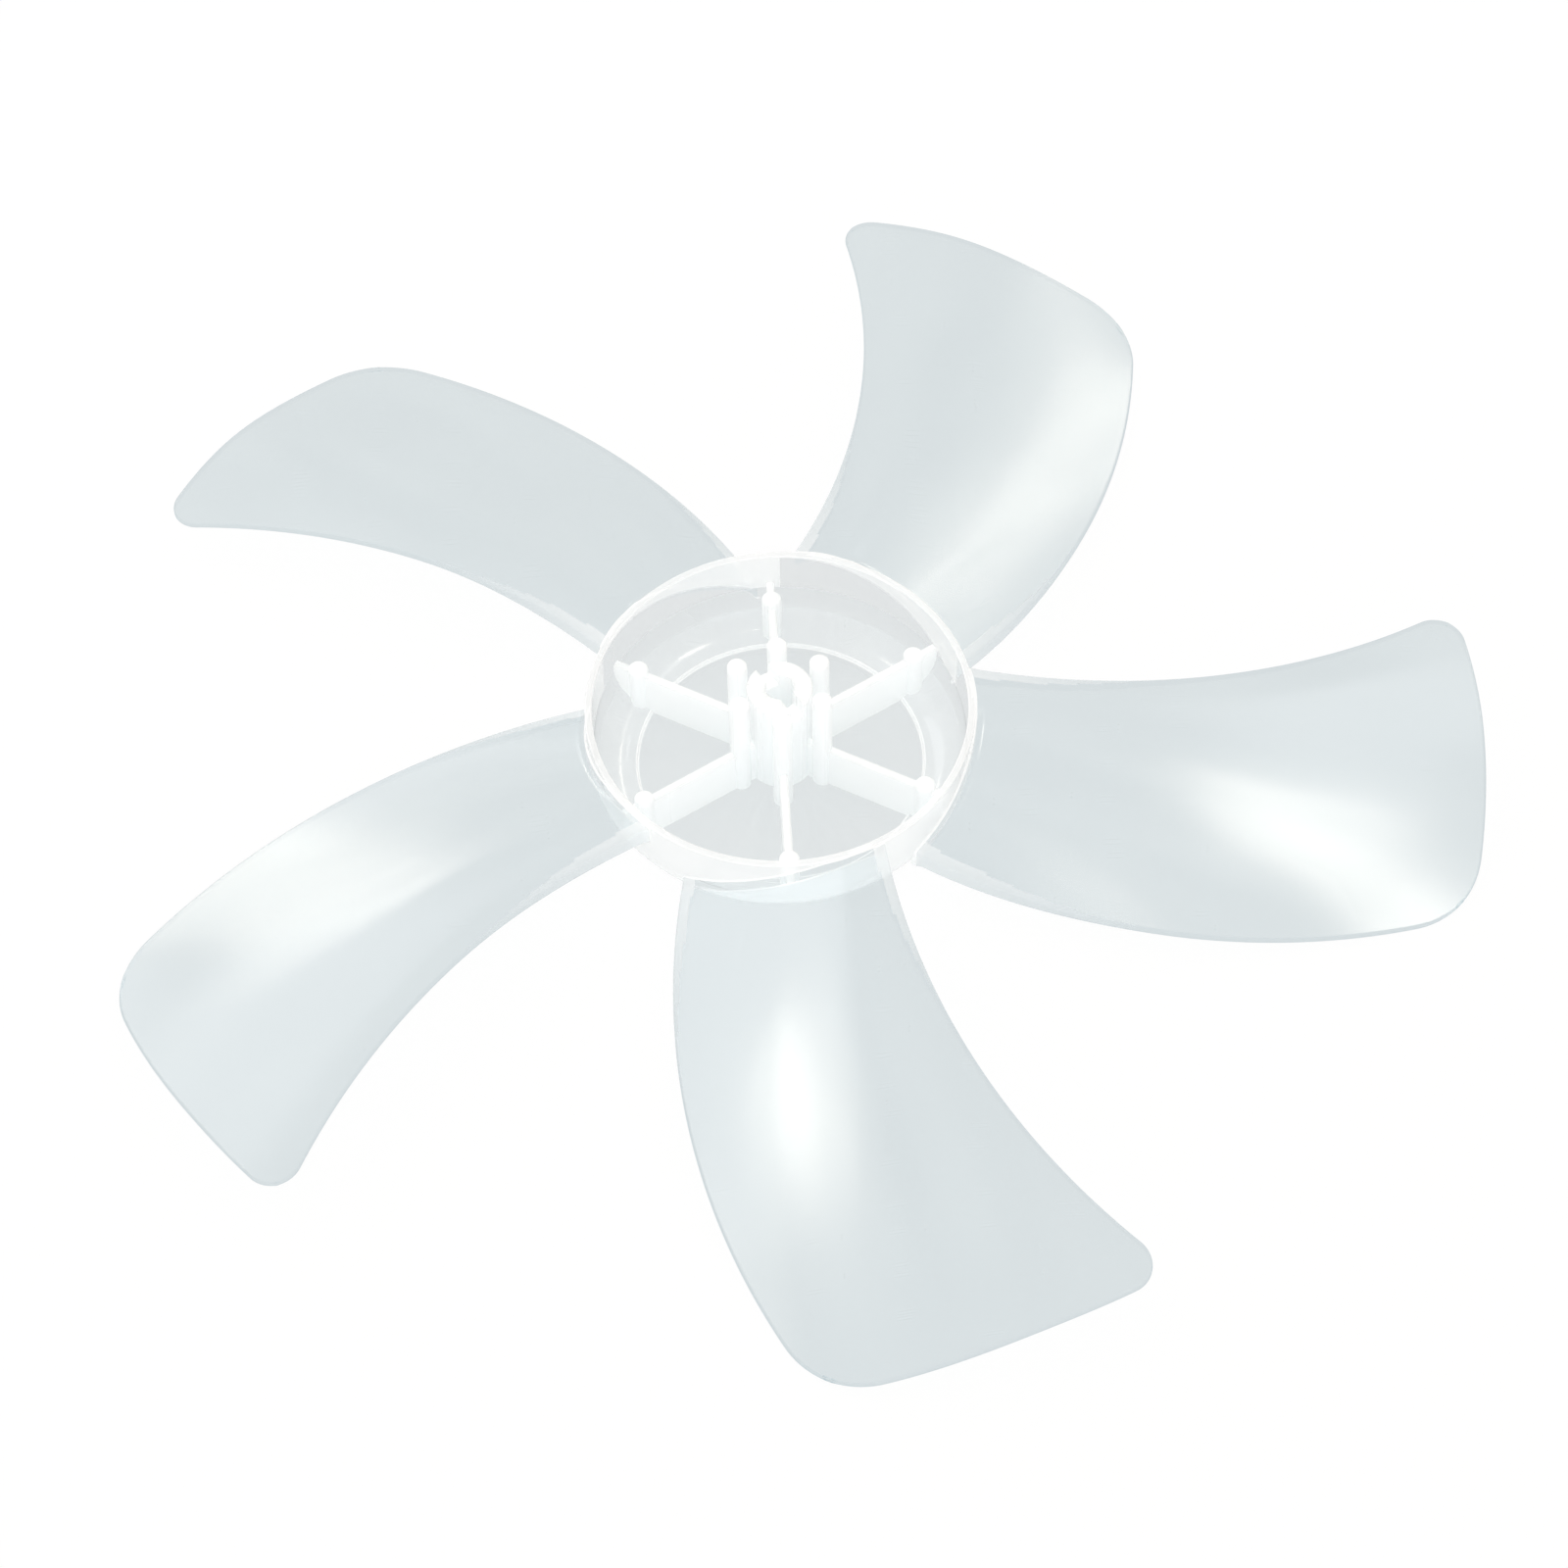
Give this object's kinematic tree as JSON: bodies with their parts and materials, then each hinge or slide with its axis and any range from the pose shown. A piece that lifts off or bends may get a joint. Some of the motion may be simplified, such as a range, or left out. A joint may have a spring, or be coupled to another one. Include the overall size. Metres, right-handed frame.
{
  "type": "pedestal fan blade",
  "caption": "Clear one-piece moulded fan blade: a bowl hub with ribs and a slotted shaft boss carries swept, cambered blades.",
  "frame": {"origin": "on the shaft axis, at the outer face of the hub's nose", "axes": "+Z along the shaft axis, from the nose towards the motor; the pin slot runs at 120 degrees from +X"},
  "size_m": [0.377, 0.3855, 0.0404],
  "materials": {
    "clear_plastic": "clear, faintly blue-grey moulded plastic with a smooth gloss"
  },
  "bodies": {
    "root": {"impeller": "clear_plastic"}
  },
  "joints": []
}
